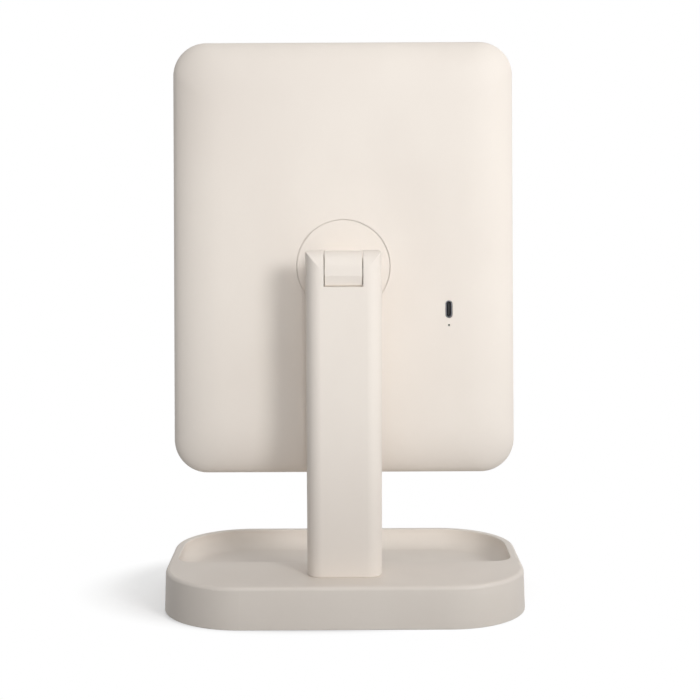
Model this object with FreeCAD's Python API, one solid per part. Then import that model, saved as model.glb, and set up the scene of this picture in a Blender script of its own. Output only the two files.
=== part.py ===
import FreeCAD, Part
import math
import os

# A lighted table mirror: a tray base, a column with a fork, a tilt and swivel hinge, and a lit head.
# Lengths are in millimetres. The origin is the middle of the base on the table and +Z is up.
# The mirror looks along -Y and the back of the head along +Y.

# Base
base_width = 189.0
base_depth = 126.6
base_top = 22.5
base_corner = 41.5
base_draft = 0.6
base_edge_round = 2.0
base_lower_round = 0.5
base_wall = 2.4
foot_height = 1.2
foot_radius = 6.0
foot_round = 0.4
foot_side_inset = 23.0
foot_end_inset = 19.0
recess_rim = 5.3
recess_depth = 10.0
recess_fillet_share = 0.85
recess_front_corner = 36.0
recess_back_corner = 10.0
recess_lip_round = 0.6
plateau_depth = 49.9
bottom_plate_thickness = 2.4
plate_screw_sink = 1.6
weight_width = 112.0
weight_depth = 84.0
weight_thickness = 4.0
weight_corner = 8.0
base_screw_side_inset = 19.0
base_screw_spacing = 30.0

# Column and fork
column_foot_width = 38.4
column_top_width = 39.4
column_depth = 17.5
column_back_inset = 17.5
column_round = 7.5
column_foot_chamfer = 0.4
ear_corner = 2.0
column_wall = 3.0
column_boss_radius = 4.5
column_boss_height = 24.0
column_boss_sink = 1.0
fork_floor = 12.0
fork_lip_drop = 7.3
arch_height = 158.2

# Tilt hinge
knuckle_width = 19.2
ear_gap = 0.55
pin_drop = 2.3
barrel_radius = 9.66
barrel_gap = 0.55
knuckle_setback = 0.25
bevel_drop = 1.8
bevel_angle = 16.0
neck_height = 13.0
neck_length = 27.15
pin_radius = 3.0
pin_chamfer = 0.3
cap_radius = 4.0
cap_thickness = 1.6
cap_setback = 0.6
tilt_washer_radius = 7.0
tilt_washer_thickness = 1.0
tilt_washer_stand = 0.35

# Swivel joint in the back of the head
swivel_drop = 1.2
disc_radius = 24.8
disc_gap = 0.35
disc_plate = 1.1
hub_radius = 20.8
collar_thickness = 1.8
collar_radius = 29.5
swivel_washer_thickness = 0.5
retainer_radius = 25.0
retainer_thickness = 2.0
swivel_gap = 0.1
hinge_screw_spacing_x = 10.0
hinge_screw_spacing_z = 8.0
hinge_screw_grip = 8.0

# Head
head_width = 184.0
head_height = 233.0
head_thickness = 25.0
head_corner = 18.0
head_lift = 4.3
dome_depth = 11.5
dome_inset = 27.0
dome_corner = 10.0
dome_steps = 6
shell_wall = 2.2
frame_depth = 5.0
frame_round = 1.8
seam_chamfer = 0.4
rim_width = 5.0
chin_height = 17.0
ledge_width = 2.5
ledge_thickness = 1.0
glass_setback = 0.6
glass_thickness = 2.0
glass_corner = 5.0
band_width = 13.0
band_seat = 1.5
chassis_depth = 7.4
panel_thickness = 1.5
channel_wall = 1.5
corner_boss_radius = 3.4

# Lights and boards
strip_width = 5.6
strip_thickness = 1.0
strip_end_inset = 17.0
chip_pitch = 11.0
chip_length = 3.5
chip_width = 2.8
chip_height = 0.8
board_thickness = 1.2
control_board_width = 40.0
control_board_height = 32.0
control_board_side_inset = 8.0
board_post_inset = 4.0
board_post_left_inset = 12.0
post_radius = 2.6
port_from_side = 35.6
port_below_middle = 27.6
port_length = 8.94
port_breadth = 3.26
port_wall = 0.3
port_depth = 6.5
port_setback = 1.1
port_slot_gap = 0.3
tongue_length = 6.7
tongue_thickness = 0.7
tongue_depth = 4.2
tongue_root = 1.5
light_pipe_drop = 8.5
light_pipe_radius = 0.45
light_pipe_setback = 0.8
battery_width = 64.0
battery_height = 46.0
battery_thickness = 7.0
battery_collar_gap = 5.5
battery_round = 1.5
strap_height = 12.0
strap_thickness = 1.0
strap_round = 3.0
strap_lug = 10.0
lead_radius = 0.5
lead_pair_spacing = 2.5
lead_bend = 8.0
lead_end_bend = 3.0
battery_lead_drop = 7.0
battery_lead_from_port = 5.0
switch_lead_slack = 42.0
switch_lead_offset_x = 5.0
switch_lead_offset_z = 2.5

# Power button and its switch
button_radius = 4.5
button_gap = 0.2
button_proud = 0.6
button_travel = 0.8
button_flange_radius = 6.0
button_flange_thickness = 1.2
button_flange_gap = 0.15
button_round = 0.5
button_dish_depth = 0.3
switch_gap = 0.2
switch_side = 6.0
switch_height = 3.5
plunger_radius = 1.75
plunger_length = 2.0
plunger_gap = 0.08
switch_board_width = 32.0
switch_board_height = 9.0

# Screws, fits and cuts
large_shank = 1.6
large_head = 3.0
large_head_height = 1.8
small_shank = 1.1
small_head = 2.1
small_head_height = 1.2
cross_length_share = 0.65
cross_width_share = 0.14
cross_depth_share = 0.55
base_screw_grip = 4.0
column_screw_grip = 16.0
small_screw_grip = 4.5
screw_fit = 0.05
pin_fit = 0.05
nest_gap = 0.25
level_tolerance = 0.005
overrun = 5.0

# Places worked out from the sizes above
recess_back_y = base_depth / 2 - plateau_depth
plate_top = foot_height + bottom_plate_thickness
column_back_y = base_depth / 2 - column_back_inset
pivot_y = column_back_y - column_depth / 2
arch_z = base_top + arch_height
pivot_z = arch_z - pin_drop
swivel_z = arch_z - swivel_drop
column_top = arch_z + column_depth / 2
fork_floor_z = pivot_z - barrel_radius - barrel_gap
fork_lip_z = pivot_z - fork_lip_drop
slot_width = knuckle_width + 2 * ear_gap
ear_half = column_foot_width / 2
ear_half += (column_top_width - column_foot_width) / 2 * (pivot_z - base_top) / (column_top - base_top)

head_back_y = pivot_y - neck_length
head_front_y = head_back_y - head_thickness
parting_y = head_front_y + frame_depth
dome_start_y = head_back_y - dome_depth
wall_inner_y = head_back_y - shell_wall
head_z = swivel_z + head_lift
head_bottom = head_z - head_height / 2

window_width = head_width - 2 * rim_width
window_height = head_height - rim_width - chin_height
window_corner = head_corner - rim_width
window_z = head_z + (chin_height - rim_width) / 2
ledge_y = parting_y - ledge_thickness
glass_front_y = head_front_y + glass_setback
chassis_front_y = glass_front_y + glass_thickness
chassis_back_y = chassis_front_y + chassis_depth
channel_floor_y = chassis_back_y - panel_thickness
channel_outer = ledge_width + nest_gap + channel_wall
channel_inner = band_width - band_seat
channel_middle = (channel_outer + channel_inner) / 2

disc_inner_y = head_back_y - disc_plate
collar_outer_y = disc_inner_y - swivel_gap
collar_inner_y = collar_outer_y - collar_thickness
hub_end_y = collar_inner_y - swivel_gap - swivel_washer_thickness
retainer_inner_y = hub_end_y - retainer_thickness

port_x = port_from_side - head_width / 2
port_z = head_z - port_below_middle
board_back_y = head_back_y - port_setback - port_depth
board_front_y = board_back_y - board_thickness
board_middle_y = (board_back_y + board_front_y) / 2
board_left_x = control_board_side_inset - head_width / 2
board_right_x = board_left_x + control_board_width
board_low_z = port_z - control_board_height / 2
board_high_z = port_z + control_board_height / 2
light_pipe_z = port_z - light_pipe_drop
battery_z = swivel_z + collar_radius + battery_collar_gap + battery_height / 2
battery_front_y = wall_inner_y - battery_thickness
strap_post_x = battery_width / 2 + strap_lug / 2

button_z = head_bottom + chin_height / 2
button_front_y = head_front_y - button_proud
flange_front_y = parting_y + button_flange_gap
flange_back_y = flange_front_y + button_flange_thickness
switch_front_y = flange_back_y + button_travel + switch_gap
switch_back_y = switch_front_y + switch_height
switch_board_back_y = switch_back_y + board_thickness
switch_post_x = switch_board_width / 2 - board_post_inset
board_posts = [
    (board_right_x - board_post_inset, board_low_z + board_post_inset),
    (board_right_x - board_post_inset, board_high_z - board_post_inset),
    (board_left_x + board_post_left_inset, board_low_z + board_post_inset),
    (board_left_x + board_post_left_inset, board_high_z - board_post_inset),
]
strap_posts = [(-strap_post_x, battery_z), (strap_post_x, battery_z)]
switch_posts = [(-switch_post_x, button_z), (switch_post_x, button_z)]

large_screw = (large_shank, large_head, large_head_height)
small_screw = (small_shank, small_head, small_head_height)

ALONG_X = FreeCAD.Vector(1, 0, 0)
ALONG_Y = FreeCAD.Vector(0, 1, 0)
ALONG_Z = FreeCAD.Vector(0, 0, 1)


def on_table(u, v, level):
    return FreeCAD.Vector(u, v, level)


def on_head(u, v, level):
    return FreeCAD.Vector(u, level, v)


def outline(plane, width, height, corners, middle, level):
    """Rounded rectangle; corners is one radius or four, counter-clockwise from +u +v."""
    radii = corners if isinstance(corners, tuple) else (corners,) * 4
    signs = [(1, 1), (-1, 1), (-1, -1), (1, -1)]
    arcs = []
    for quarter, (side_u, side_v) in enumerate(signs):
        radius = radii[quarter]
        centre_u = middle[0] + side_u * (width / 2 - radius)
        centre_v = middle[1] + side_v * (height / 2 - radius)
        points = []
        for half_step in range(3):
            turn = math.radians(90 * quarter + 45 * half_step)
            u = centre_u + radius * math.cos(turn)
            v = centre_v + radius * math.sin(turn)
            points.append(plane(u, v, level))
        arcs.append(points)
    edges = []
    for quarter, points in enumerate(arcs):
        edges.append(Part.Arc(*points).toShape())
        following = arcs[(quarter + 1) % len(arcs)]
        edges.append(Part.LineSegment(points[2], following[0]).toShape())
    return Part.Wire(edges)


def slab(plane, width, height, corners, middle, low, high):
    face = Part.Face(outline(plane, width, height, corners, middle, low))
    return face.extrude(plane(0, 0, high) - plane(0, 0, low))


def rod(start, direction, radius, length):
    return Part.makeCylinder(radius, length, start, direction)


def rod_y(x, z, radius, low, high):
    return rod(FreeCAD.Vector(x, low, z), ALONG_Y, radius, high - low)


def box_between(low, high):
    return Part.makeBox(high.x - low.x, high.y - low.y, high.z - low.z, low)


def edges_at_height(solid, level):
    flat = [edge for edge in solid.Edges if abs(edge.BoundBox.ZMin - level) < level_tolerance]
    return [edge for edge in flat if abs(edge.BoundBox.ZMax - level) < level_tolerance]


def edges_at_y(solid, level):
    flat = [edge for edge in solid.Edges if abs(edge.BoundBox.YMin - level) < level_tolerance]
    return [edge for edge in flat if abs(edge.BoundBox.YMax - level) < level_tolerance]


def screw(seat, direction, size, grip):
    """A pan head with a cross recess; seat is the point under the head, the shank runs along direction."""
    shank_radius, head_radius, head_height = size
    solid = Part.makeCylinder(shank_radius, grip)
    solid = solid.fuse(Part.makeCylinder(head_radius, head_height, FreeCAD.Vector(0, 0, -head_height)))
    arm = head_radius * cross_length_share
    half = head_radius * cross_width_share
    depth = head_height * cross_depth_share
    for across, along in ((arm, half), (half, arm)):
        corner = FreeCAD.Vector(-across, -along, -head_height - overrun)
        solid = solid.cut(Part.makeBox(2 * across, 2 * along, depth + overrun, corner))
    solid.Placement = FreeCAD.Placement(seat, FreeCAD.Rotation(ALONG_Z, direction))
    return solid


def group(solids):
    return Part.makeCompound(solids)


def base_block(inset, low, high):
    """The drafted outer form of the base, moved inward by inset."""
    wires = []
    for level in (low, high):
        shrink = inset + base_draft * (level - foot_height) / (base_top - foot_height)
        wires.append(outline(on_table, base_width - 2 * shrink, base_depth - 2 * shrink,
                             base_corner - shrink, (0, 0), level))
    return Part.makeLoft(wires, True, True)


def recess_block(grow, high):
    """The hollow of the tray, grown by grow on its sides and floor."""
    front_y = -base_depth / 2 + recess_rim
    depth = recess_back_y - front_y + 2 * grow
    width = base_width - 2 * recess_rim + 2 * grow
    back = recess_back_corner + grow
    front = recess_front_corner + grow
    floor_z = base_top - recess_depth - grow
    block = slab(on_table, width, depth, (back, back, front, front),
                 (0, (recess_back_y + front_y) / 2), floor_z, high)
    fillet = recess_depth * recess_fillet_share + grow
    return block.makeFillet(fillet, edges_at_height(block, floor_z))


def base_screw_places():
    x = base_width / 2 - base_screw_side_inset
    y = base_screw_spacing / 2
    return [(x, y), (-x, y), (-x, -y), (x, -y)]


def column_screw_places():
    x = column_foot_width / 2 - column_wall - column_boss_radius + column_boss_sink
    return [(-x, pivot_y), (x, pivot_y)]


def base_tray():
    outer = base_block(0, foot_height, base_top)
    outer = outer.makeFillet(base_edge_round, edges_at_height(outer, base_top))
    outer = outer.makeFillet(base_lower_round, edges_at_height(outer, foot_height))
    hollow = base_block(base_wall, foot_height - overrun, base_top - base_wall)
    hollow = hollow.cut(recess_block(base_wall, base_top + overrun))
    tray = outer.cut(hollow)
    boss_radius = base_wall + large_shank
    for x, y in base_screw_places():
        boss = rod(FreeCAD.Vector(x, y, plate_top), ALONG_Z, boss_radius, base_top - base_wall - plate_top)
        tray = tray.fuse(boss)
    tray = tray.cut(recess_block(0, base_top + overrun))
    lip = []
    for edge in edges_at_height(tray, base_top):
        box = edge.BoundBox
        inside = box.XMax < base_width / 2 - recess_rim / 2 and box.XMin > -base_width / 2 + recess_rim / 2
        if inside and box.YMax < recess_back_y + recess_rim and box.YMin > -base_depth / 2 + recess_rim / 2:
            lip.append(edge)
    tray = tray.makeFillet(recess_lip_round, lip)
    for x, y in base_screw_places():
        hole = rod(FreeCAD.Vector(x, y, plate_top), ALONG_Z, large_shank + screw_fit, base_screw_grip)
        tray = tray.cut(hole)
    for x, y in column_screw_places():
        start = FreeCAD.Vector(x, y, base_top - base_wall - overrun)
        tray = tray.cut(rod(start, ALONG_Z, large_shank + screw_fit, base_wall + 2 * overrun))
    return tray


def base_bottom_plate():
    inset = base_wall + nest_gap
    plate = slab(on_table, base_width - 2 * inset, base_depth - 2 * inset,
                 base_corner - inset, (0, 0), foot_height, plate_top)
    for x, y in base_screw_places():
        plate = plate.cut(rod(FreeCAD.Vector(x, y, foot_height), ALONG_Z, large_shank + screw_fit,
                              bottom_plate_thickness))
        plate = plate.cut(rod(FreeCAD.Vector(x, y, foot_height), ALONG_Z, large_head + nest_gap,
                              plate_screw_sink))
    return plate


def base_screws():
    seat = foot_height + plate_screw_sink
    grip = bottom_plate_thickness - plate_screw_sink + base_screw_grip - nest_gap
    size = (large_shank, large_head, plate_screw_sink - nest_gap)
    return group([screw(FreeCAD.Vector(x, y, seat), ALONG_Z, size, grip) for x, y in base_screw_places()])


def base_weight():
    return slab(on_table, weight_width, weight_depth, weight_corner, (0, 0),
                plate_top, plate_top + weight_thickness)


def base_feet():
    x = base_width / 2 - foot_side_inset
    y = base_depth / 2 - foot_end_inset
    feet = []
    for side_x, side_y in ((1, 1), (-1, 1), (-1, -1), (1, -1)):
        pad = rod(FreeCAD.Vector(side_x * x, side_y * y, 0), ALONG_Z, foot_radius, foot_height)
        feet.append(pad.makeFillet(foot_round, edges_at_height(pad, 0)))
    return group(feet)


def arch_prism(inset, low, width):
    """Side view of the column with its round top, moved inward by inset, as a prism of that width."""
    front = pivot_y - column_depth / 2 + inset
    back = pivot_y + column_depth / 2 - inset
    x = -width / 2
    top = FreeCAD.Vector(x, pivot_y, column_top - inset)
    corners = [FreeCAD.Vector(x, front, low), FreeCAD.Vector(x, back, low)]
    shoulders = [FreeCAD.Vector(x, back, arch_z), FreeCAD.Vector(x, front, arch_z)]
    wire = Part.Wire([
        Part.LineSegment(corners[0], corners[1]).toShape(),
        Part.LineSegment(corners[1], shoulders[0]).toShape(),
        Part.Arc(shoulders[0], top, shoulders[1]).toShape(),
        Part.LineSegment(shoulders[1], corners[0]).toShape(),
    ])
    return Part.Face(wire).extrude(ALONG_X * width)


def column_taper(inset, low, high):
    """Front view of the column, slightly wider at the top, as a prism through its depth."""
    start_y = pivot_y - column_depth
    flare = (column_top_width - column_foot_width) / 2 / (column_top - base_top)
    corners = []
    for side, level in ((-1, low), (1, low), (1, high), (-1, high)):
        half = column_foot_width / 2 - inset + flare * (level - base_top)
        corners.append(FreeCAD.Vector(side * half, start_y, level))
    wire = Part.makePolygon(corners + [corners[0]])
    return Part.Face(wire).extrude(ALONG_Y * (2 * column_depth))


def stand_column():
    low = FreeCAD.Vector(-column_top_width, pivot_y - column_depth / 2, base_top)
    high = FreeCAD.Vector(column_top_width, pivot_y + column_depth / 2, column_top + overrun)
    column = column_taper(0, base_top, column_top + overrun).common(box_between(low, high))
    long_edges = [edge for edge in column.Edges if edge.BoundBox.ZLength > arch_height]
    column = column.makeFillet(column_round, long_edges)
    column = column.common(arch_prism(0, base_top, 2 * column_top_width))
    front_view = slab(on_head, column_top_width, 2 * column_top, ear_corner, (0, 0),
                      pivot_y - column_depth, pivot_y + column_depth)
    column = column.common(front_view)
    column = column.makeChamfer(column_foot_chamfer, edges_at_height(column, base_top))
    hollow_top = fork_floor_z - fork_floor
    hollow = column_taper(column_wall, base_top - overrun, hollow_top)
    room = FreeCAD.Vector(column_top_width, column_depth / 2 - column_wall, 0)
    middle = FreeCAD.Vector(0, pivot_y, 0)
    hollow = hollow.common(box_between(middle - room + ALONG_Z * (base_top - overrun),
                                       middle + room + ALONG_Z * hollow_top))
    corners = [edge for edge in hollow.Edges if edge.BoundBox.ZLength > hollow_top - base_top]
    hollow = hollow.makeFillet(column_round - column_wall, corners)
    column = column.cut(hollow)
    for x, y in column_screw_places():
        foot = FreeCAD.Vector(x, y, base_top)
        column = column.fuse(rod(foot, ALONG_Z, column_boss_radius, column_boss_height))
        column = column.cut(rod(foot, ALONG_Z, large_shank + screw_fit, column_screw_grip))
    low = FreeCAD.Vector(-slot_width / 2, pivot_y - column_depth, fork_lip_z)
    high = FreeCAD.Vector(slot_width / 2, pivot_y + column_depth, column_top + overrun)
    column = column.cut(box_between(low, high))
    start = FreeCAD.Vector(-slot_width / 2, pivot_y, pivot_z)
    column = column.cut(rod(start, ALONG_X, barrel_radius + barrel_gap, slot_width))
    low = FreeCAD.Vector(-slot_width / 2, pivot_y - column_depth, fork_floor_z)
    high = FreeCAD.Vector(slot_width / 2, pivot_y, pivot_z)
    column = column.cut(box_between(low, high))
    start = FreeCAD.Vector(-column_top_width, pivot_y, pivot_z)
    column = column.cut(rod(start, ALONG_X, pin_radius + screw_fit, 2 * column_top_width))
    for side in (-1, 1):
        pocket = FreeCAD.Vector(side * (ear_half - cap_setback - cap_thickness), pivot_y, pivot_z)
        column = column.cut(rod(pocket, ALONG_X * side, cap_radius + screw_fit, cap_thickness + overrun))
    return column


def column_screws():
    seat = base_top - base_wall
    grip = base_wall + column_screw_grip - nest_gap
    return group([screw(FreeCAD.Vector(x, y, seat), ALONG_Z, large_screw, grip)
                  for x, y in column_screw_places()])


def tilt_pin():
    half = ear_half - cap_setback - cap_thickness
    start = FreeCAD.Vector(-half, pivot_y, pivot_z)
    pin = rod(start, ALONG_X, pin_radius, 2 * half)
    return pin.makeChamfer(pin_chamfer, [edge for edge in pin.Edges if len(edge.Vertexes) == 1])


def pin_caps():
    caps = []
    for side in (-1, 1):
        start = FreeCAD.Vector(side * (ear_half - cap_setback - cap_thickness), pivot_y, pivot_z)
        caps.append(rod(start, ALONG_X * side, cap_radius, cap_thickness))
    return group(caps)


def bevel_wedge():
    """What the bevel takes off the lower part of the knuckle's rear face."""
    x = -knuckle_width / 2
    back = pivot_y + column_depth / 2 - knuckle_setback
    crease_z = pivot_z - bevel_drop
    depth = (crease_z - fork_floor_z) * math.tan(math.radians(bevel_angle))
    crease = FreeCAD.Vector(x, back, crease_z)
    outside = FreeCAD.Vector(x, back + overrun, crease_z)
    below = FreeCAD.Vector(x, back + overrun, fork_floor_z)
    inside = FreeCAD.Vector(x, back - depth, fork_floor_z)
    wire = Part.makePolygon([crease, outside, below, inside, crease])
    return Part.Face(wire).extrude(ALONG_X * knuckle_width)


def hinge_knuckle():
    start = FreeCAD.Vector(-knuckle_width / 2, pivot_y, pivot_z)
    barrel = rod(start, ALONG_X, barrel_radius, knuckle_width)
    low = FreeCAD.Vector(-knuckle_width / 2, pivot_y - column_depth, pivot_z)
    high = FreeCAD.Vector(knuckle_width / 2, pivot_y + column_depth, column_top + overrun)
    barrel = barrel.fuse(box_between(low, high))
    knuckle = arch_prism(knuckle_setback, fork_floor_z, knuckle_width).common(barrel)
    knuckle = knuckle.cut(bevel_wedge())
    low = FreeCAD.Vector(-knuckle_width / 2, head_back_y, swivel_z - neck_height / 2)
    high = FreeCAD.Vector(knuckle_width / 2, pivot_y, swivel_z + neck_height / 2)
    knuckle = knuckle.fuse(box_between(low, high)).removeSplitter()
    knuckle = knuckle.cut(rod(start, ALONG_X, pin_radius + pin_fit, knuckle_width))
    depth = tilt_washer_thickness - tilt_washer_stand
    for side in (-1, 1):
        floor = FreeCAD.Vector(side * (knuckle_width / 2 - depth), pivot_y, pivot_z)
        knuckle = knuckle.cut(rod(floor, ALONG_X * side, tilt_washer_radius + screw_fit, depth + overrun))
    for x, z in hinge_screw_places():
        knuckle = knuckle.cut(rod_y(x, z, large_shank + screw_fit,
                                    head_back_y, head_back_y + hinge_screw_grip))
    return knuckle


def tilt_washers():
    washers = []
    depth = tilt_washer_thickness - tilt_washer_stand
    for side in (-1, 1):
        floor = FreeCAD.Vector(side * (knuckle_width / 2 - depth), pivot_y, pivot_z)
        washer = rod(floor, ALONG_X * side, tilt_washer_radius, tilt_washer_thickness)
        washers.append(washer.cut(rod(floor, ALONG_X * side, pin_radius + pin_fit, tilt_washer_thickness)))
    return group(washers)


def hinge_screw_places():
    x = hinge_screw_spacing_x / 2
    z = hinge_screw_spacing_z / 2
    return [(x, swivel_z + z), (-x, swivel_z + z), (-x, swivel_z - z), (x, swivel_z - z)]


def swivel_disc():
    disc = rod_y(0, swivel_z, disc_radius, disc_inner_y, head_back_y)
    disc = disc.fuse(rod_y(0, swivel_z, hub_radius, hub_end_y, disc_inner_y))
    for x, z in hinge_screw_places():
        disc = disc.cut(rod_y(x, z, large_shank + screw_fit, hub_end_y - overrun, head_back_y + overrun))
    return disc


def swivel_washer():
    washer = rod_y(0, swivel_z, retainer_radius, hub_end_y, hub_end_y + swivel_washer_thickness)
    return washer.cut(rod_y(0, swivel_z, hub_radius + pin_fit, hub_end_y - overrun, head_back_y))


def swivel_retainer():
    plate = rod_y(0, swivel_z, retainer_radius, retainer_inner_y, hub_end_y)
    for x, z in hinge_screw_places():
        plate = plate.cut(rod_y(x, z, large_shank + screw_fit, retainer_inner_y - overrun, head_back_y))
    return plate


def hinge_screws():
    grip = head_back_y + hinge_screw_grip - nest_gap - retainer_inner_y
    return group([screw(FreeCAD.Vector(x, retainer_inner_y, z), ALONG_Y, large_screw, grip)
                  for x, z in hinge_screw_places()])


def pillow(inset, low, back):
    """The head block moved inward by inset: straight sides from low, then the domed back up to back."""
    width = head_width - 2 * inset
    height = head_height - 2 * inset
    corner = head_corner - inset
    sides = slab(on_head, width, height, corner, (0, head_z), low, dome_start_y)
    wires = []
    for step in range(dome_steps + 1):
        turn = math.radians(90) * step / dome_steps
        pull = 1 - math.cos(turn)
        level = dome_start_y + (back - dome_start_y) * math.sin(turn)
        wires.append(outline(on_head, width - 2 * dome_inset * pull, height - 2 * dome_inset * pull,
                             corner + (dome_corner - head_corner) * pull, (0, head_z), level))
    return sides.fuse(Part.makeLoft(wires, True))


def corner_boss_places():
    corner = max(window_corner - channel_middle, glass_corner)
    inset = channel_middle + corner * (1 - math.sqrt(0.5))
    x = window_width / 2 - inset
    z = window_height / 2 - inset
    return [(x, window_z + z), (-x, window_z + z), (-x, window_z - z), (x, window_z - z)]


def rear_shell():
    outer = pillow(0, parting_y, head_back_y)
    outer = outer.makeChamfer(seam_chamfer, edges_at_y(outer, parting_y))
    shell = outer.cut(pillow(shell_wall, parting_y - overrun, wall_inner_y))
    posts = [rod_y(x, z, corner_boss_radius, chassis_back_y, head_back_y) for x, z in corner_boss_places()]
    posts += [rod_y(x, z, post_radius, board_back_y, head_back_y) for x, z in board_posts]
    posts += [rod_y(x, z, post_radius, battery_front_y, head_back_y) for x, z in strap_posts]
    posts += [rod_y(x, z, post_radius, switch_board_back_y, head_back_y) for x, z in switch_posts]
    posts.append(rod_y(0, swivel_z, collar_radius, collar_inner_y, head_back_y))
    for post in posts:
        shell = shell.fuse(post.common(outer))
    pilots = [(x, z, chassis_back_y) for x, z in corner_boss_places()]
    pilots += [(x, z, board_back_y) for x, z in board_posts]
    pilots += [(x, z, battery_front_y) for x, z in strap_posts]
    pilots += [(x, z, switch_board_back_y) for x, z in switch_posts]
    for x, z, top in pilots:
        shell = shell.cut(rod_y(x, z, small_shank + screw_fit, top, top + small_screw_grip))
    shell = shell.cut(rod_y(0, swivel_z, disc_radius + disc_gap, collar_outer_y, head_back_y + overrun))
    shell = shell.cut(rod_y(0, swivel_z, hub_radius + disc_gap, collar_inner_y - overrun, collar_outer_y))
    slot_breadth = port_breadth + 2 * port_slot_gap
    slot_length = port_length + 2 * port_slot_gap
    shell = shell.cut(port_bar(slot_breadth, slot_length, board_back_y, head_back_y + overrun))
    return shell.cut(rod_y(port_x, light_pipe_z, light_pipe_radius + nest_gap / 2,
                           wall_inner_y - overrun, head_back_y + overrun))


def window_slab(inset, low, high):
    """The window's rounded rectangle moved inward by inset."""
    corner = max(window_corner - inset, glass_corner)
    width = window_width - 2 * inset
    height = window_height - 2 * inset
    return slab(on_head, width, height, corner, (0, window_z), low, high)


def front_frame():
    frame = slab(on_head, head_width, head_height, head_corner, (0, head_z), head_front_y, parting_y)
    frame = frame.makeFillet(frame_round, edges_at_y(frame, head_front_y))
    frame = frame.makeChamfer(seam_chamfer, edges_at_y(frame, parting_y))
    frame = frame.cut(window_slab(0, head_front_y - overrun, ledge_y))
    frame = frame.cut(window_slab(ledge_width, ledge_y, parting_y + overrun))
    return frame.cut(rod_y(0, button_z, button_radius + button_gap,
                           head_front_y - overrun, parting_y + overrun))


def light_chassis():
    chassis = window_slab(nest_gap, chassis_front_y, ledge_y)
    chassis = chassis.fuse(window_slab(ledge_width + nest_gap, ledge_y, chassis_back_y))
    channel = window_slab(channel_outer, chassis_front_y - overrun, channel_floor_y)
    channel = channel.cut(window_slab(channel_inner, chassis_front_y - overrun, channel_floor_y))
    chassis = chassis.cut(channel)
    pocket = window_slab(channel_inner + panel_thickness, chassis_front_y + panel_thickness, chassis_back_y)
    chassis = chassis.cut(pocket)
    for x, z in corner_boss_places():
        chassis = chassis.cut(rod_y(x, z, small_shank + screw_fit, channel_floor_y, chassis_back_y))
    for x, z in light_lead_places():
        chassis = chassis.cut(rod_y(x, z, lead_radius + nest_gap, channel_floor_y, chassis_back_y))
    return chassis


def light_diffuser():
    band = window_slab(nest_gap, glass_front_y, chassis_front_y)
    return band.cut(window_slab(band_width, glass_front_y - overrun, chassis_front_y + overrun))


def mirror_glass():
    return window_slab(band_width + nest_gap, glass_front_y, chassis_front_y)


def strip_rows():
    """Centre, half length along X or Z, and direction of each light strip in the channel."""
    reach_x = window_width / 2 - channel_middle
    reach_z = window_height / 2 - channel_middle
    half_x = window_width / 2 - strip_end_inset
    half_z = window_height / 2 - strip_end_inset
    rows = [(0, window_z + side * reach_z, half_x, True) for side in (-1, 1)]
    return rows + [(side * reach_x, window_z, half_z, False) for side in (-1, 1)]


def tile(x, z, half_long, half_short, lies_along_x, low, high):
    half_x = half_long if lies_along_x else half_short
    half_z = half_short if lies_along_x else half_long
    return box_between(FreeCAD.Vector(x - half_x, low, z - half_z),
                       FreeCAD.Vector(x + half_x, high, z + half_z))


def led_strips():
    strip_front = channel_floor_y - strip_thickness
    strips = []
    for x, z, half, along_x in strip_rows():
        strips.append(tile(x, z, half, strip_width / 2, along_x, strip_front, channel_floor_y))
    return group(strips)


def led_chips():
    back = channel_floor_y - strip_thickness
    chips = []
    for x, z, half, along_x in strip_rows():
        count = int(2 * half // chip_pitch)
        for index in range(count):
            shift = (index - (count - 1) / 2) * chip_pitch
            chip_x = x + shift if along_x else x
            chip_z = z if along_x else z + shift
            chips.append(tile(chip_x, chip_z, chip_length / 2, chip_width / 2, along_x,
                              back - chip_height, back))
    return group(chips)


def chassis_screws():
    grip = panel_thickness + small_screw_grip - nest_gap
    return group([screw(FreeCAD.Vector(x, channel_floor_y, z), ALONG_Y, small_screw, grip)
                  for x, z in corner_boss_places()])


def control_board():
    board = box_between(FreeCAD.Vector(board_left_x, board_front_y, board_low_z),
                        FreeCAD.Vector(board_right_x, board_back_y, board_high_z))
    for x, z in board_posts:
        board = board.cut(rod_y(x, z, small_shank + screw_fit, board_front_y, board_back_y))
    return board


def inner_screws():
    screws = []
    seats = [(x, z, board_front_y, board_thickness) for x, z in board_posts]
    seats += [(x, z, battery_front_y - strap_thickness, strap_thickness) for x, z in strap_posts]
    seats += [(x, z, switch_back_y, board_thickness) for x, z in switch_posts]
    for x, z, seat, sheet in seats:
        grip = sheet + small_screw_grip - nest_gap
        screws.append(screw(FreeCAD.Vector(x, seat, z), ALONG_Y, small_screw, grip))
    return group(screws)


def port_bar(breadth, length, low, high):
    """Upright bar with round ends, around the middle of the charging port."""
    half_straight = (length - breadth) / 2
    bar = box_between(FreeCAD.Vector(port_x - breadth / 2, low, port_z - half_straight),
                      FreeCAD.Vector(port_x + breadth / 2, high, port_z + half_straight))
    for side in (-1, 1):
        bar = bar.fuse(rod_y(port_x, port_z + side * half_straight, breadth / 2, low, high))
    return bar.removeSplitter()


def usb_port():
    mouth = board_back_y + port_depth
    port = port_bar(port_breadth, port_length, board_back_y, mouth)
    inside = 2 * port_wall
    return port.cut(port_bar(port_breadth - inside, port_length - inside, board_back_y, mouth))


def usb_tongue():
    gap = 2 * port_wall + 2 * screw_fit
    root_end = board_back_y + tongue_root
    tongue = port_bar(port_breadth - gap, port_length - gap, board_back_y, root_end)
    low = FreeCAD.Vector(port_x - tongue_thickness / 2, root_end, port_z - tongue_length / 2)
    high = FreeCAD.Vector(port_x + tongue_thickness / 2, root_end + tongue_depth,
                          port_z + tongue_length / 2)
    return tongue.fuse(box_between(low, high))


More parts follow.
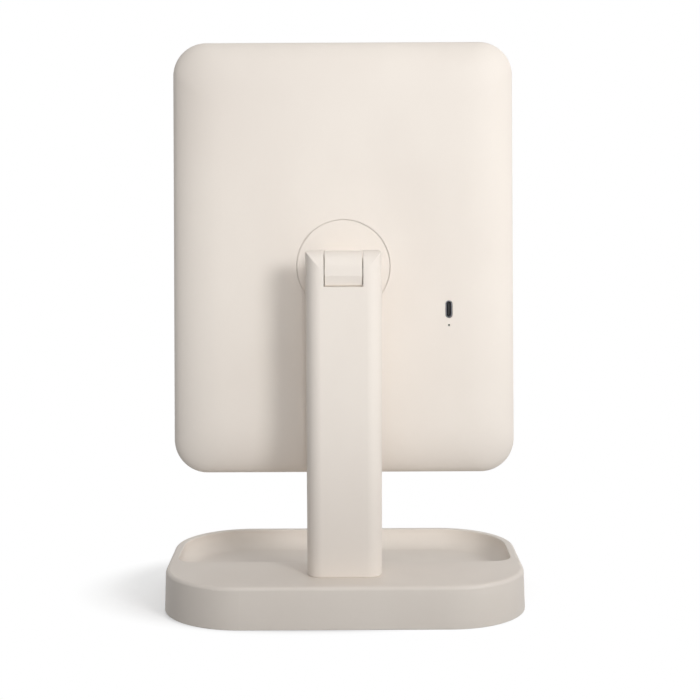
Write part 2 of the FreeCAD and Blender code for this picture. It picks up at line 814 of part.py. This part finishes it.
def charge_light_pipe():
    return rod_y(port_x, light_pipe_z, light_pipe_radius, board_back_y, head_back_y - light_pipe_setback)


def battery_pack():
    low = FreeCAD.Vector(-battery_width / 2, battery_front_y, battery_z - battery_height / 2)
    high = FreeCAD.Vector(battery_width / 2, wall_inner_y, battery_z + battery_height / 2)
    pack = box_between(low, high)
    sides = [edge for edge in pack.Edges if edge.BoundBox.YLength > battery_thickness / 2]
    return pack.makeFillet(battery_round, sides)


def battery_strap():
    half = battery_width / 2 + strap_lug
    strap_front_y = battery_front_y - strap_thickness
    strap = box_between(FreeCAD.Vector(-half, strap_front_y, battery_z - strap_height / 2),
                        FreeCAD.Vector(half, battery_front_y, battery_z + strap_height / 2))
    ends = [edge for edge in strap.Edges if edge.BoundBox.YLength > strap_thickness / 2]
    strap = strap.makeFillet(strap_round, ends)
    for x, z in strap_posts:
        strap = strap.cut(rod_y(x, z, small_shank + screw_fit, strap_front_y, battery_front_y))
    return strap


def lead(points, bends):
    """A round wire along straight runs joined by arcs; bends gives each inner corner its radius."""
    edges = []
    start = points[0]
    for before, corner, after, bend in zip(points, points[1:], points[2:], bends):
        toward = (before - corner).normalize()
        away = (after - corner).normalize()
        half_angle = toward.getAngle(away) / 2
        reach = bend / math.tan(half_angle)
        bisector = (toward + away).normalize()
        middle = corner + bisector * (bend / math.sin(half_angle) - bend)
        arc_start = corner + toward * reach
        arc_end = corner + away * reach
        edges.append(Part.LineSegment(start, arc_start).toShape())
        edges.append(Part.Arc(arc_start, middle, arc_end).toShape())
        start = arc_end
    edges.append(Part.LineSegment(start, points[-1]).toShape())
    path = Part.Wire(edges)
    section = Part.Wire([Part.makeCircle(lead_radius, points[0], points[1] - points[0])])
    return path.makePipeShell([section], True, True)


def battery_lead():
    x = port_x + battery_lead_from_port
    z = battery_z - battery_height / 2 + battery_lead_drop
    points = [
        FreeCAD.Vector(-battery_width / 2, board_middle_y, z),
        FreeCAD.Vector(x, board_middle_y, z),
        FreeCAD.Vector(x, board_middle_y, board_high_z),
    ]
    return lead(points, [lead_bend])


def light_lead_places():
    x = -window_width / 2 + channel_middle
    return [(x, port_z - lead_pair_spacing / 2), (x, port_z + lead_pair_spacing / 2)]


def light_lead():
    return group([rod_y(x, z, lead_radius, channel_floor_y, board_front_y) for x, z in light_lead_places()])


def switch_lead():
    x = port_x + battery_lead_from_port
    end_x = -switch_lead_offset_x
    end_z = button_z + switch_lead_offset_z
    points = [
        FreeCAD.Vector(x, board_middle_y, board_low_z),
        FreeCAD.Vector(x, board_middle_y, board_low_z - switch_lead_slack),
        FreeCAD.Vector(end_x, board_middle_y, end_z),
        FreeCAD.Vector(end_x, switch_board_back_y, end_z),
    ]
    return lead(points, [lead_bend, lead_end_bend])


def switch_board():
    low = FreeCAD.Vector(-switch_board_width / 2, switch_back_y, button_z - switch_board_height / 2)
    high = FreeCAD.Vector(switch_board_width / 2, switch_board_back_y, button_z + switch_board_height / 2)
    board = box_between(low, high)
    for x, z in switch_posts:
        board = board.cut(rod_y(x, z, small_shank + screw_fit, switch_back_y, switch_board_back_y))
    return board


def switch_body():
    half = switch_side / 2
    body = box_between(FreeCAD.Vector(-half, switch_front_y, button_z - half),
                       FreeCAD.Vector(half, switch_back_y, button_z + half))
    bore_end = flange_back_y + plunger_length + button_travel + switch_gap
    return body.cut(rod_y(0, button_z, plunger_radius + plunger_gap, switch_front_y, bore_end))


def power_button():
    cap = rod_y(0, button_z, button_radius, button_front_y, flange_front_y)
    cap = cap.makeFillet(button_round, edges_at_y(cap, button_front_y))
    dish_radius = (button_radius ** 2 + button_dish_depth ** 2) / (2 * button_dish_depth)
    centre = FreeCAD.Vector(0, button_front_y + button_dish_depth - dish_radius, button_z)
    cap = cap.cut(Part.makeSphere(dish_radius, centre))
    return cap.fuse(rod_y(0, button_z, button_flange_radius, flange_front_y, flange_back_y))


def switch_plunger():
    return rod_y(0, button_z, plunger_radius, flange_back_y, flange_back_y + plunger_length)


NODES = [
    base_tray, base_bottom_plate, base_screws, base_weight, base_feet,
    stand_column, column_screws, tilt_pin, pin_caps,
    hinge_knuckle, tilt_washers, swivel_disc, swivel_washer, swivel_retainer, hinge_screws,
    rear_shell, front_frame, light_chassis, light_diffuser, mirror_glass,
    led_strips, led_chips, chassis_screws,
    control_board, inner_screws, usb_port, usb_tongue, charge_light_pipe,
    battery_pack, battery_strap, battery_lead, light_lead, switch_lead,
    switch_board, switch_body, power_button, switch_plunger,
]

os.makedirs("parts", exist_ok=True)
for node in NODES:
    shape = node()
    if not shape.isValid():
        raise ValueError(node.__name__ + " is not a valid shape")
    shape.exportStep("parts/" + node.__name__ + ".step")
    print(node.__name__, len(shape.Solids), round(shape.Volume), shape.BoundBox)
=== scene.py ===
import math

import bpy
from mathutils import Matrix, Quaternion, Vector


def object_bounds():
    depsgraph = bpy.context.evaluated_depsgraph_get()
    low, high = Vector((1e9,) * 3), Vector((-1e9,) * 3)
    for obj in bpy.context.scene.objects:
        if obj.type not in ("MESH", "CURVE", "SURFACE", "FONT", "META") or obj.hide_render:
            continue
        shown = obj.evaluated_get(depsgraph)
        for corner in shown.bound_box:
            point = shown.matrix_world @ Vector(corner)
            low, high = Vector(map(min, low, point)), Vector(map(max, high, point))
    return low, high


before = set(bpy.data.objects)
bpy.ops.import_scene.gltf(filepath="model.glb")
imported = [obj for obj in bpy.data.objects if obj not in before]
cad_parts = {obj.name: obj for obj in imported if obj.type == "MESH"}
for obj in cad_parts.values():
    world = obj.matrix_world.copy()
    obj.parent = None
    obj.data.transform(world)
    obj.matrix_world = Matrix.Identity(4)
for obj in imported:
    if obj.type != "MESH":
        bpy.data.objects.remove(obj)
cad_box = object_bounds()

# Lengths are in metres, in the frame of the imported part: the mirror looks along -Y, its back along +Y.
MM = 0.001

# Camera, behind the mirror and a little above the middle of the head, with its angles in radians;
# the axis pixel is where the lens's axis meets the picture
IMAGE_SIDE = 700
CAMERA_PLACE = Vector((0, 0.7979, 0.22677))
CAMERA_PITCH = -0.00394
CAMERA_ROLL = -0.0045
FOCAL_PIXELS = 1471.6
AXIS_PIXEL = (343.0, 172.1)
SENSOR_MM = 36.0

# Light: two soft spots, and a sky that is dimmer on one side
KEY = {"aim": (-0.07, 0.225), "turn": 33, "rise": 18, "distance": 1.3, "radius": 0.3, "cone": 23,
       "blend": 0.6, "power": 60}
FRONT = {"aim": (-0.01, 0.182), "turn": 2, "rise": 6, "distance": 1.3, "radius": 0.07, "cone": 16,
         "blend": 0.35, "power": 8.5}
SKY_LEVEL = 0.67
SKY_DIM_SHARE = 0.55
SKY_DIM_EDGES = (-0.3, 0.9)
WHITE = (1, 1, 1, 1)

# Table; its shadow reaches out in shares of the base's half width and half depth, which are the part's own
TABLE_RADIUS = 0.25
TABLE_SIDES = 96
TABLE_LIFT = 0.36
BASE_HALF = (cad_box[1] - cad_box[0]) / 2
SHADOW_MIDDLE = (0.02, -0.018)
SHADOW_NEAR_SHARE = 1.05
SHADOW_FAR_SHARE = 1.4

# Finishes: how wide their patches, grains and streaks are, and how deep their relief is
FLOW_MARK = 60 * MM
GLOSS_PATCH = 9 * MM
PLASTIC_GRAIN = 0.25 * MM
PLASTIC_RELIEF = 0.02 * MM
METAL_STREAK = 1.2 * MM
METAL_HAZE = 12 * MM
STREAK_RELIEF = 0.01 * MM
WIPE_MARK = 30 * MM
OPAL_CLOUD = 14 * MM
OPAL_SCATTER = 4 * MM
FROST_GRAIN = 0.3 * MM
FROST_RELIEF = 0.01 * MM
RUBBER_GRAIN = 0.4 * MM
RUBBER_RELIEF = 0.04 * MM
DUST_PATCH = 5 * MM
BOARD_WEAVE = 0.6 * MM
COPPER_RELIEF = 0.03 * MM
COPPER_RUNS = {"Scale": 90.0, "Mortar Size": 0.035, "Brick Width": 0.9, "Row Height": 0.22}
COPPER_STAGGER_SHARE = 0.37
PHOSPHOR_GRAIN = 0.35 * MM
PHOSPHOR_RELIEF = 0.03 * MM
ACRYLIC_HAZE = 0.8 * MM
ACRYLIC_IOR = 1.49
FILM_CREASE = 7 * MM
CREASE_RELIEF = 0.3 * MM

# Noise values at which a patch starts and is full
CLOUD_EDGES = (0.3, 0.7)
WIPE_EDGES = (0.45, 0.75)
DUST_EDGES = (0.45, 0.7)

# Stretch of a pattern that is the same along each axis
EVEN = (1, 1, 1)


def tint(red, green, blue):
    """A colour given as screen values from 0 to 255, as a linear shader colour."""
    channels = []
    for value in (red, green, blue):
        share = value / 255
        channels.append(share / 12.92 if share <= 0.04045 else ((share + 0.055) / 1.055) ** 2.4)
    return (*channels, 1.0)


class Shade:
    """A shader socket; the operators add Math nodes and node() adds any other node."""

    def __init__(self, tree, socket=None):
        self.tree = tree
        self.socket = socket

    def node(self, kind, settings, sockets, out=0):
        """Adds a node: its settings first, then the values or links of its sockets."""
        made = self.tree.nodes.new(kind)
        for name, value in settings.items():
            setattr(made, name, value)
        for name, value in sockets.items():
            if isinstance(value, Shade):
                self.tree.links.new(value.socket, made.inputs[name])
            else:
                made.inputs[name].default_value = value
        return Shade(self.tree, made.outputs[out] if made.outputs else None)

    def maths(self, operation, first, second):
        return self.node("ShaderNodeMath", {"operation": operation}, {0: first, 1: second})

    def __add__(self, other):
        return self.maths("ADD", self, other)

    def __radd__(self, other):
        return self.maths("ADD", other, self)

    def __sub__(self, other):
        return self.maths("SUBTRACT", self, other)

    def __rsub__(self, other):
        return self.maths("SUBTRACT", other, self)

    def __mul__(self, other):
        return self.maths("MULTIPLY", self, other)

    def __rmul__(self, other):
        return self.maths("MULTIPLY", other, self)

    def spread(self, low, high):
        """The value eased from 0 at low to 1 at high."""
        settings = {"interpolation_type": "SMOOTHSTEP"}
        return self.node("ShaderNodeMapRange", settings, {"Value": self, "From Min": low, "From Max": high})

    def colours(self, first, second):
        """The value as the factor of a mix of two colours."""
        return self.node("ShaderNodeMix", {"data_type": "RGBA"}, {0: self, 6: first, 7: second}, 2)

    def bump(self, strength, distance):
        return self.node("ShaderNodeBump", {}, {"Strength": strength, "Distance": distance, "Height": self})


def new_finish(name):
    material = bpy.data.materials.new(name)
    material.use_nodes = True
    material.node_tree.nodes.clear()
    return material, Shade(material.node_tree)


def place(shade, stretch=EVEN):
    """The point on the piece, in metres, with each axis stretched."""
    point = shade.node("ShaderNodeTexCoord", {}, {}, "Object")
    return shade.node("ShaderNodeMapping", {}, {"Vector": point, "Scale": stretch})


def noise(shade, size, detail=2.0, stretch=EVEN):
    """Cloudy noise whose patches are about size metres across."""
    sockets = {"Vector": place(shade, stretch), "Scale": 1 / size, "Detail": detail}
    return shade.node("ShaderNodeTexNoise", {}, sockets)


def surface(shade, sockets):
    shader = shade.node("ShaderNodeBsdfPrincipled", {}, sockets)
    shade.node("ShaderNodeOutputMaterial", {}, {"Surface": shader})


def moulded_plastic(name, light, dark, roughness=0.46):
    """Moulded plastic: a fine spark-eroded grain, faint flow marks and a satin gloss that varies a little."""
    material, shade = new_finish(name)
    flow = noise(shade, FLOW_MARK, detail=3.0, stretch=(1, 1, 0.6)).spread(*CLOUD_EDGES)
    speck = noise(shade, PLASTIC_GRAIN, detail=1.0)
    cloud = noise(shade, GLOSS_PATCH)
    surface(shade, {
        "Base Color": (flow * 0.6 + speck * 0.4).colours(light, dark),
        "Roughness": roughness + 0.1 * cloud + 0.06 * speck,
        "Specular IOR Level": 0.4,
        "Normal": speck.bump(0.35, PLASTIC_RELIEF),
    })
    return material


def metal(name, light, dark, roughness, stretch=EVEN):
    """Bare or plated metal with drawn streaks and a faint haze."""
    material, shade = new_finish(name)
    streak = noise(shade, METAL_STREAK, detail=3.0, stretch=stretch)
    haze = noise(shade, METAL_HAZE)
    surface(shade, {
        "Base Color": (streak * 0.5 + haze * 0.5).spread(*CLOUD_EDGES).colours(light, dark),
        "Metallic": 1.0,
        "Roughness": roughness + 0.12 * streak + 0.08 * haze,
        "Normal": streak.bump(0.2, STREAK_RELIEF),
    })
    return material


def silvered_glass():
    """Silvered glass with faint upright wipe marks."""
    material, shade = new_finish("silvered_glass")
    wipe = noise(shade, WIPE_MARK, detail=4.0, stretch=(1, 1, 0.25)).spread(*WIPE_EDGES)
    surface(shade, {
        "Base Color": wipe.colours(tint(240, 243, 242), tint(233, 237, 237)),
        "Metallic": 1.0,
        "Roughness": 0.015 + 0.03 * wipe,
    })
    return material


def opal_acrylic():
    """Frosted white acrylic that lets light spread inside it."""
    material, shade = new_finish("opal_acrylic")
    cloud = noise(shade, OPAL_CLOUD, detail=3.0)
    frost = noise(shade, FROST_GRAIN, detail=1.0)
    surface(shade, {
        "Base Color": cloud.spread(*CLOUD_EDGES).colours(tint(247, 246, 243), tint(240, 239, 234)),
        "Roughness": 0.42 + 0.12 * frost,
        "Subsurface Weight": 0.25,
        "Subsurface Radius": (OPAL_SCATTER, OPAL_SCATTER, OPAL_SCATTER),
        "Normal": frost.bump(0.25, FROST_RELIEF),
    })
    return material


def foot_rubber():
    """Grained grey rubber with some dust on it."""
    material, shade = new_finish("foot_rubber")
    speck = noise(shade, RUBBER_GRAIN)
    dust = noise(shade, DUST_PATCH, detail=4.0).spread(*DUST_EDGES)
    surface(shade, {
        "Base Color": dust.colours(tint(150, 146, 140), tint(176, 172, 165)),
        "Roughness": 0.75 + 0.15 * dust,
        "Normal": speck.bump(0.5, RUBBER_RELIEF),
    })
    return material


def circuit_board(name, mask, trace):
    """Solder mask over copper runs laid out on a grid."""
    material, shade = new_finish(name)
    settings = {"offset": COPPER_STAGGER_SHARE}
    runs = shade.node("ShaderNodeTexBrick", settings, {"Vector": place(shade), **COPPER_RUNS}, "Fac")
    weave = noise(shade, BOARD_WEAVE)
    surface(shade, {
        "Base Color": (runs * 0.8 + weave * 0.2).colours(mask, trace),
        "Roughness": 0.32 + 0.15 * weave,
        "Normal": runs.bump(0.4, COPPER_RELIEF),
    })
    return material


def led_lens():
    """Yellow phosphor, grained."""
    material, shade = new_finish("led_lens")
    grains = noise(shade, PHOSPHOR_GRAIN)
    surface(shade, {
        "Base Color": grains.spread(*CLOUD_EDGES).colours(tint(246, 226, 132), tint(236, 205, 92)),
        "Roughness": 0.25 + 0.2 * grains,
        "Normal": grains.bump(0.3, PHOSPHOR_RELIEF),
    })
    return material


def clear_acrylic():
    """Clear acrylic with a slight haze."""
    material, shade = new_finish("clear_acrylic")
    haze = noise(shade, ACRYLIC_HAZE)
    surface(shade, {
        "Base Color": haze.colours(tint(236, 240, 240), tint(220, 226, 226)),
        "Roughness": 0.05 + 0.1 * haze,
        "Transmission Weight": 0.8,
        "IOR": ACRYLIC_IOR,
    })
    return material


def battery_film():
    """Grey shrink film with creases."""
    material, shade = new_finish("battery_film")
    crease = noise(shade, FILM_CREASE, detail=4.0, stretch=(1, 1, 3))
    surface(shade, {
        "Base Color": crease.spread(*CLOUD_EDGES).colours(tint(176, 179, 182), tint(150, 154, 158)),
        "Roughness": 0.28 + 0.2 * crease,
        "Metallic": 0.35 + 0.2 * crease,
        "Normal": crease.bump(0.4, CREASE_RELIEF),
    })
    return material


def dress(material, *names):
    """Gives the named pieces the finish."""
    for name in names:
        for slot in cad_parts[name].material_slots:
            slot.material = material


CREAM = tint(236, 228, 219)
CREAM_DEEP = tint(229, 220, 211)
cream_plastic = moulded_plastic("cream_plastic", CREAM, CREAM_DEEP)
dress(cream_plastic, "rear_shell", "front_frame", "swivel_disc", "hinge_knuckle", "stand_column",
      "pin_caps", "base_tray", "base_bottom_plate", "power_button")
dress(moulded_plastic("white_plastic", tint(240, 240, 238), tint(230, 230, 228)), "light_chassis")
dress(moulded_plastic("washer_plastic", tint(226, 222, 208), tint(212, 207, 190), roughness=0.35),
      "tilt_washers", "swivel_washer")
dress(moulded_plastic("black_plastic", tint(26, 26, 27), tint(34, 34, 35), roughness=0.4),
      "usb_tongue", "switch_body", "switch_plunger")
dress(moulded_plastic("wire_jacket", tint(172, 30, 28), tint(148, 24, 24), roughness=0.32),
      "battery_lead", "light_lead", "switch_lead")
dress(silvered_glass(), "mirror_glass")
dress(opal_acrylic(), "light_diffuser")
dress(foot_rubber(), "base_feet")
dress(circuit_board("control_mask", tint(22, 92, 52), tint(60, 138, 82)), "control_board", "switch_board")
dress(circuit_board("strip_mask", tint(240, 240, 236), tint(216, 206, 182)), "led_strips")
dress(led_lens(), "led_chips")
dress(clear_acrylic(), "charge_light_pipe")
dress(battery_film(), "battery_pack")
dress(metal("bright_steel", tint(198, 199, 201), tint(176, 177, 180), roughness=0.22, stretch=(0.1, 1, 1)),
      "tilt_pin", "swivel_retainer", "battery_strap")
dress(metal("mill_steel", tint(92, 92, 95), tint(66, 66, 70), roughness=0.45, stretch=(0.2, 1, 1)),
      "base_weight")
dress(metal("zinc_plate", tint(196, 198, 203), tint(170, 173, 180), roughness=0.28),
      "base_screws", "column_screws", "hinge_screws", "chassis_screws", "inner_screws")
dress(metal("nickel_plate", tint(150, 150, 154), tint(120, 120, 126), roughness=0.25, stretch=(1, 0.2, 1)),
      "usb_port")


def seen_directly(shade):
    """1 for what the camera sees itself, in a mirror or through glass, 0 for light on its way."""
    seen = shade.node("ShaderNodeLightPath", {}, {}, "Is Camera Ray")
    for ray in ("Is Glossy Ray", "Is Transmission Ray"):
        seen = seen.maths("MAXIMUM", seen, shade.node("ShaderNodeLightPath", {}, {}, ray))
    return seen


def white_table():
    """White table that keeps the soft shadow close to the base and is plain white further out."""
    material, shade = new_finish("white_table")
    scale = (1 / BASE_HALF[0], 1 / BASE_HALF[1], 1)
    shift = (-SHADOW_MIDDLE[0] * scale[0], -SHADOW_MIDDLE[1] * scale[1], 0)
    point = shade.node("ShaderNodeMapping", {}, {
        "Vector": shade.node("ShaderNodeTexCoord", {}, {}, "Object"), "Location": shift, "Scale": scale,
    })
    reach = shade.node("ShaderNodeVectorMath", {"operation": "LENGTH"}, {0: point}, "Value")
    seen = seen_directly(shade)
    away = reach.spread(SHADOW_NEAR_SHARE, SHADOW_FAR_SHARE) * seen
    for_bounces = tint(160, 160, 160)
    for_eyes = tint(238, 238, 238)
    lit = shade.node("ShaderNodeBsdfDiffuse", {}, {"Color": seen.colours(for_bounces, for_eyes)})
    lift = shade.node("ShaderNodeEmission", {}, {"Color": WHITE, "Strength": seen * TABLE_LIFT})
    near = shade.node("ShaderNodeAddShader", {}, {0: lit, 1: lift})
    far = shade.node("ShaderNodeEmission", {}, {"Color": WHITE, "Strength": 1.0})
    shader = shade.node("ShaderNodeMixShader", {}, {0: away, 1: near, 2: far})
    shade.node("ShaderNodeOutputMaterial", {}, {"Surface": shader})
    return material


def make_table():
    rim = []
    for side in range(TABLE_SIDES):
        turn = math.tau * side / TABLE_SIDES
        rim.append((TABLE_RADIUS * math.cos(turn), TABLE_RADIUS * math.sin(turn), 0))
    mesh = bpy.data.meshes.new("table")
    mesh.from_pydata(rim, [], [range(TABLE_SIDES)])
    table = bpy.data.objects.new("table", mesh)
    bpy.context.collection.objects.link(table)
    mesh.materials.append(white_table())


def make_sky():
    """Soft light from all round, dimmer from +X; seen directly or in a reflection it is plain white."""
    world = bpy.data.worlds.new("studio")
    bpy.context.scene.world = world
    world.use_nodes = True
    world.node_tree.nodes.clear()
    shade = Shade(world.node_tree)
    direction = shade.node("ShaderNodeTexCoord", {}, {}, "Generated")
    side = shade.node("ShaderNodeSeparateXYZ", {}, {0: direction}, "X").spread(*SKY_DIM_EDGES)
    level = SKY_LEVEL * (1 - SKY_DIM_SHARE * side)
    level = level + (1 - level) * seen_directly(shade)
    sky = shade.node("ShaderNodeBackground", {}, {"Color": WHITE, "Strength": level})
    shade.node("ShaderNodeOutputWorld", {}, {"Surface": sky})


def add_spot(name, aim, turn, rise, distance, radius, cone, blend, power):
    """A soft spot that looks at a point above the base, given across and up; angles are in degrees."""
    data = bpy.data.lights.new(name, "SPOT")
    data.shadow_soft_size = radius
    data.spot_size = math.radians(cone)
    data.spot_blend = blend
    data.energy = power
    lamp = bpy.data.objects.new(name, data)
    bpy.context.collection.objects.link(lamp)
    side = math.radians(turn)
    up = math.radians(rise)
    toward = Vector((-math.sin(side) * math.cos(up), math.cos(side) * math.cos(up), math.sin(up)))
    lamp.location = Vector((aim[0], 0, aim[1])) + toward * distance
    lamp.rotation_euler = toward.to_track_quat("Z", "Y").to_euler()


def make_camera():
    data = bpy.data.cameras.new("camera")
    data.sensor_width = SENSOR_MM
    data.lens = FOCAL_PIXELS * SENSOR_MM / IMAGE_SIDE
    data.shift_x = 0.5 - AXIS_PIXEL[0] / IMAGE_SIDE
    data.shift_y = AXIS_PIXEL[1] / IMAGE_SIDE - 0.5
    camera = bpy.data.objects.new("camera", data)
    bpy.context.collection.objects.link(camera)
    ahead = Vector((0, -math.cos(CAMERA_PITCH), -math.sin(CAMERA_PITCH)))
    level = ahead.to_track_quat("-Z", "Y")
    camera.location = CAMERA_PLACE
    camera.rotation_euler = (level @ Quaternion((0, 0, 1), CAMERA_ROLL)).to_euler()
    bpy.context.scene.camera = camera


make_table()
make_sky()
add_spot("key", **KEY)
add_spot("front", **FRONT)
make_camera()
bpy.context.scene.view_settings.view_transform = "Standard"
